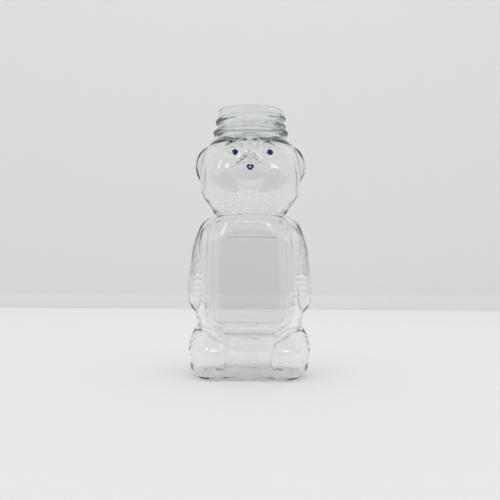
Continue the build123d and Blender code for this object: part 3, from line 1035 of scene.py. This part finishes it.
class BearInk(bpy.types.PropertyGroup):
    """Look of the printed ink"""

    dark: FloatVectorProperty(
        name="Ink", description="Colour of the full ink",
        default=(0.008, 0.02, 0.05), subtype="COLOR", min=0.0, max=1.0,
    )
    thin: FloatVectorProperty(
        name="Thin ink", description="Colour where the ink is thin",
        default=(0.02, 0.06, 0.14), subtype="COLOR", min=0.0, max=1.0,
    )
    thickness: FloatProperty(
        name="Thickness", description="Thickness of the ink, in millimetres",
        default=0.06, min=0.01, max=0.2,
    )


class StudioSettings(bpy.types.PropertyGroup):
    """Sweep, room, lamp and camera"""

    table: FloatVectorProperty(
        name="Table", description="Colour of the sweep on the table",
        default=(0.79, 0.795, 0.79), subtype="COLOR", min=0.0, max=1.0,
    )
    backdrop: FloatVectorProperty(
        name="Backdrop", description="Colour of the sweep behind",
        default=(0.803, 0.813, 0.808), subtype="COLOR", min=0.0, max=1.0,
    )
    daylight: FloatProperty(
        name="Room light", description="Strength of the even light on the table",
        default=0.78, min=0.0, max=5.0,
    )
    lamp: FloatProperty(
        name="Lamp", description="Power of the large soft lamp, in watts",
        default=9.5, min=0.0, max=200.0,
    )
    room_front: FloatProperty(
        name="Room in front", description="Brightness of the room on the camera's side",
        default=0.30, min=0.0, max=5.0,
    )
    room_back: FloatProperty(
        name="Room behind", description="Brightness of the room behind the sweep",
        default=0.62, min=0.0, max=5.0,
    )
    ceiling: FloatProperty(
        name="Ceiling", description="Brightness of the ceiling", default=0.75, min=0.0, max=5.0
    )
    strip: FloatProperty(
        name="Strip light", description="Brightness of the strip light above the camera",
        default=2.8, min=0.0, max=50.0,
    )
    window: FloatProperty(
        name="Window", description="Brightness of the window on the left",
        default=2.0, min=0.0, max=50.0,
    )
    distance: FloatProperty(
        name="Camera distance", description="From the bottle's axis to the camera",
        default=0.337, min=0.1, max=3.0, unit="LENGTH",
    )
    height: FloatProperty(
        name="Camera height", description="Height of the camera above the table",
        default=0.059, min=0.0, max=2.0, unit="LENGTH",
    )
    turn: FloatProperty(
        name="Camera turn", description="How far the camera stands to the bottle's left",
        default=math.radians(1.2), subtype="ANGLE",
    )
    lens: FloatProperty(
        name="Lens", description="Focal length on a 36 mm sensor",
        default=45.36, min=10.0, max=300.0,
    )


# Operators

def add_piece(name, mesh, material, node):
    """Show a mesh in a CAD node's place."""
    piece = bpy.data.objects.new(name, mesh)
    bpy.context.scene.collection.objects.link(piece)
    mesh.materials.append(material)
    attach(piece, "root")
    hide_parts(node)
    return piece


class HONEYBEAR_OT_bottle(bpy.types.Operator):
    """Blow the bear bottle with its neck finish"""

    bl_idname = "honeybear.bottle"
    bl_label = "Bottle"

    def execute(self, context):
        scene = context.scene
        mesh = bottle_mesh(scene.bear_shape)
        add_piece("bottle_shell", mesh, clear_plastic(scene.bear_plastic), "bottle")
        return {"FINISHED"}


class HONEYBEAR_OT_eyes(bpy.types.Operator):
    """Print the two eyes"""

    bl_idname = "honeybear.eyes"
    bl_label = "Eyes"

    def execute(self, context):
        scene = context.scene
        shape, ink = scene.bear_shape, scene.bear_ink
        material = printed_ink(ink)
        for side, middle, edge in zip(("left", "right"), EYE_INKS, (left_eye_edge, right_eye_edge)):
            node = "eye_ink_" + side
            mesh = ink_mesh(node + "_print", shape, ink.thickness, middle, edge, eye_middle)
            add_piece(node + "_print", mesh, material, node)
        return {"FINISHED"}


class HONEYBEAR_OT_nose(bpy.types.Operator):
    """Print the nose as a small shield with a bare middle"""

    bl_idname = "honeybear.nose"
    bl_label = "Nose"

    def execute(self, context):
        scene = context.scene
        shape, ink = scene.bear_shape, scene.bear_ink
        mesh = ink_mesh("nose_ink_print", shape, ink.thickness, NOSE_INK, nose_edge, nose_hole)
        add_piece("nose_ink_print", mesh, printed_ink(ink), "nose_ink")
        return {"FINISHED"}


class HONEYBEAR_OT_stage(bpy.types.Operator):
    """Lay the sweep and set the lamp, the room light and the camera"""

    bl_idname = "honeybear.stage"
    bl_label = "Stage"

    def execute(self, context):
        scene = context.scene
        stage = scene.bear_stage
        add_sweep(stage)
        add_room(stage)
        add_lamp(stage)
        add_camera(scene, stage)
        scene.view_settings.view_transform = "Standard"
        return {"FINISHED"}


def add_sweep(stage):
    """Floor that turns up into a backdrop behind the bottle."""
    profile = [(SWEEP_FRONT, 0.0), (0.0, 0.0), (0.3, 0.0)]
    profile += arc((SWEEP_BACK - SWEEP_TURN, SWEEP_TURN), SWEEP_TURN, -90, 0, 16)
    profile += [(SWEEP_BACK, 0.3), (SWEEP_BACK, SWEEP_TOP)]
    points = [(x, y, z) for y, z in profile for x in (-SWEEP_HALF, SWEEP_HALF)]
    faces = [(i, i + 1, i + 3, i + 2) for i in range(0, len(points) - 2, 2)]
    mesh = bpy.data.meshes.new("sweep")
    mesh.from_pydata(points, [], faces)
    for polygon in mesh.polygons:
        polygon.use_smooth = True
    mesh.materials.append(sweep_paper(stage))
    sweep = bpy.data.objects.new("sweep", mesh)
    bpy.context.scene.collection.objects.link(sweep)


def add_room(stage):
    """Room light: even for the sweep, and a strip light and a window that the plastic mirrors."""
    n = Nodes("room", world=True)
    bpy.context.scene.world = n.owner
    place = n.add("ShaderNodeTexCoord")
    split = n.add("ShaderNodeSeparateXYZ", {"Vector": place.outputs["Generated"]})
    x, y, z = (split.outputs[axis] for axis in "XYZ")
    azimuth = n.product(n.maths("ARCTAN2", x, n.product(y, -1.0)), math.degrees(1.0))
    elevation = n.product(n.maths("ARCSINE", z), math.degrees(1.0))

    def span(angle, low, high, soft):
        start = n.step(angle, low - soft, low + soft)
        return n.product(start, n.step(angle, high + soft, high - soft))

    def patch(left, right, low, high, soft):
        return n.product(span(azimuth, left, right, soft), span(elevation, low, high, soft))

    behind = n.step(y, *ROOM_TURN)
    room = n.maths("MULTIPLY_ADD", behind, stage.room_back - stage.room_front, stage.room_front)
    above = n.step(elevation, *CEILING_EDGE)
    ceiling = n.step(y, *CEILING_TURN)
    ceiling = n.maths("MULTIPLY_ADD", ceiling, stage.ceiling - CEILING_FRONT, CEILING_FRONT)
    walls = n.product(room, n.maths("SUBTRACT", 1.0, above))
    room = n.maths("ADD", walls, n.product(above, ceiling))
    below = n.product(n.step(elevation, *FLOOR_EDGE), n.step(y, *FLOOR_TURN))
    room = n.product(room, n.maths("MULTIPLY_ADD", below, FLOOR_DARKER, 1.0))
    path = n.add("ShaderNodeLightPath")
    mirrored = n.maths("MINIMUM", path.outputs["Glossy Depth"], 1.0)
    dark = n.product(patch(*CAMERA_SIDE), mirrored, CAMERA_DARK)
    bright = n.maths("MULTIPLY", patch(*STRIP), stage.strip)
    bright = n.maths("ADD", bright, n.maths("MULTIPLY", patch(*WINDOW), stage.window))
    near = n.step(path.outputs["Transmission Depth"], *SURFACES_PASSED)
    near = n.maths("MULTIPLY_ADD", near, 1.0 - FAR_LIGHT, FAR_LIGHT)
    bright = n.product(bright, mirrored, near)
    room = n.maths("ADD", n.product(room, n.maths("SUBTRACT", 1.0, dark)), bright)
    white = {"Color": (1.0, 1.0, 1.0, 1.0)}
    light = n.add("ShaderNodeBackground", {**white, "Strength": room})
    plain = n.add("ShaderNodeBackground", {**white, "Strength": stage.daylight})
    seen = n.add("ShaderNodeBackground", {"Color": (*stage.backdrop, 1.0)})
    diffuse = n.maths("MINIMUM", path.outputs["Diffuse Depth"], 1.0)
    layers = n.mix(path.outputs["Is Camera Ray"], n.mix(diffuse, light, plain), seen)
    n.add("ShaderNodeOutputWorld", {"Surface": layers.outputs["Shader"]})


def add_lamp(stage):
    """Large soft lamp above the table, which the plastic doesn't mirror."""
    lamp = bpy.data.lights.new("lamp_soft", "AREA")
    lamp.shape = "RECTANGLE"
    lamp.size, lamp.size_y = LAMP_WIDTH, LAMP_LENGTH
    lamp.energy = stage.lamp
    holder = bpy.data.objects.new("lamp_soft", lamp)
    bpy.context.scene.collection.objects.link(holder)
    holder.location = LAMP_PLACE
    holder.visible_glossy = False
    holder.visible_transmission = False


def add_camera(scene, stage):
    """Camera level with the middle of the bottle, a little to its left."""
    camera = bpy.data.cameras.new("camera")
    camera.sensor_width = 36.0
    camera.lens = stage.lens
    camera.shift_y = CAMERA_SHIFT
    camera.clip_start = 0.01
    holder = bpy.data.objects.new("camera", camera)
    scene.collection.objects.link(holder)
    across, back = stage.distance * math.sin(stage.turn), stage.distance * math.cos(stage.turn)
    holder.location = (across, -back, stage.height)
    level = Matrix.Rotation(stage.turn, 4, "Z") @ Matrix.Rotation(math.radians(90), 4, "X")
    holder.rotation_euler = (level @ Matrix.Rotation(CAMERA_ROLL, 4, "Z")).to_euler()
    scene.camera = holder


class HONEYBEAR_PT_panel(bpy.types.Panel):
    """Lists the bottle's pieces and its settings"""

    bl_label = "Honey Bear"
    bl_idname = "HONEYBEAR_PT_panel"
    bl_space_type = "VIEW_3D"
    bl_region_type = "UI"
    bl_category = "Honey Bear"

    def draw(self, context):
        scene = context.scene
        layout = self.layout
        for operator in OPERATORS:
            layout.operator(operator.bl_idname)
        for title, name, _ in SETTINGS:
            group = getattr(scene, name)
            box = layout.box()
            box.label(text=title)
            for key in type(group).__annotations__:
                box.prop(group, key)


OPERATORS = (HONEYBEAR_OT_bottle, HONEYBEAR_OT_eyes, HONEYBEAR_OT_nose, HONEYBEAR_OT_stage)
SETTINGS = (
    ("Shape", "bear_shape", BearBottleShape),
    ("Plastic", "bear_plastic", BearPlastic),
    ("Ink", "bear_ink", BearInk),
    ("Studio", "bear_stage", StudioSettings),
)


def register():
    for _, name, group in SETTINGS:
        bpy.utils.register_class(group)
        setattr(bpy.types.Scene, name, PointerProperty(type=group))
    for thing in (*OPERATORS, HONEYBEAR_PT_panel):
        bpy.utils.register_class(thing)


def unregister():
    for thing in (HONEYBEAR_PT_panel, *reversed(OPERATORS)):
        bpy.utils.unregister_class(thing)
    for _, name, group in reversed(SETTINGS):
        delattr(bpy.types.Scene, name)
        bpy.utils.unregister_class(group)


def main():
    register()
    bpy.ops.honeybear.stage()
    bpy.ops.honeybear.bottle()
    bpy.ops.honeybear.eyes()
    bpy.ops.honeybear.nose()
    bpy.context.view_layer.update()


if __name__ == "__main__":
    main()
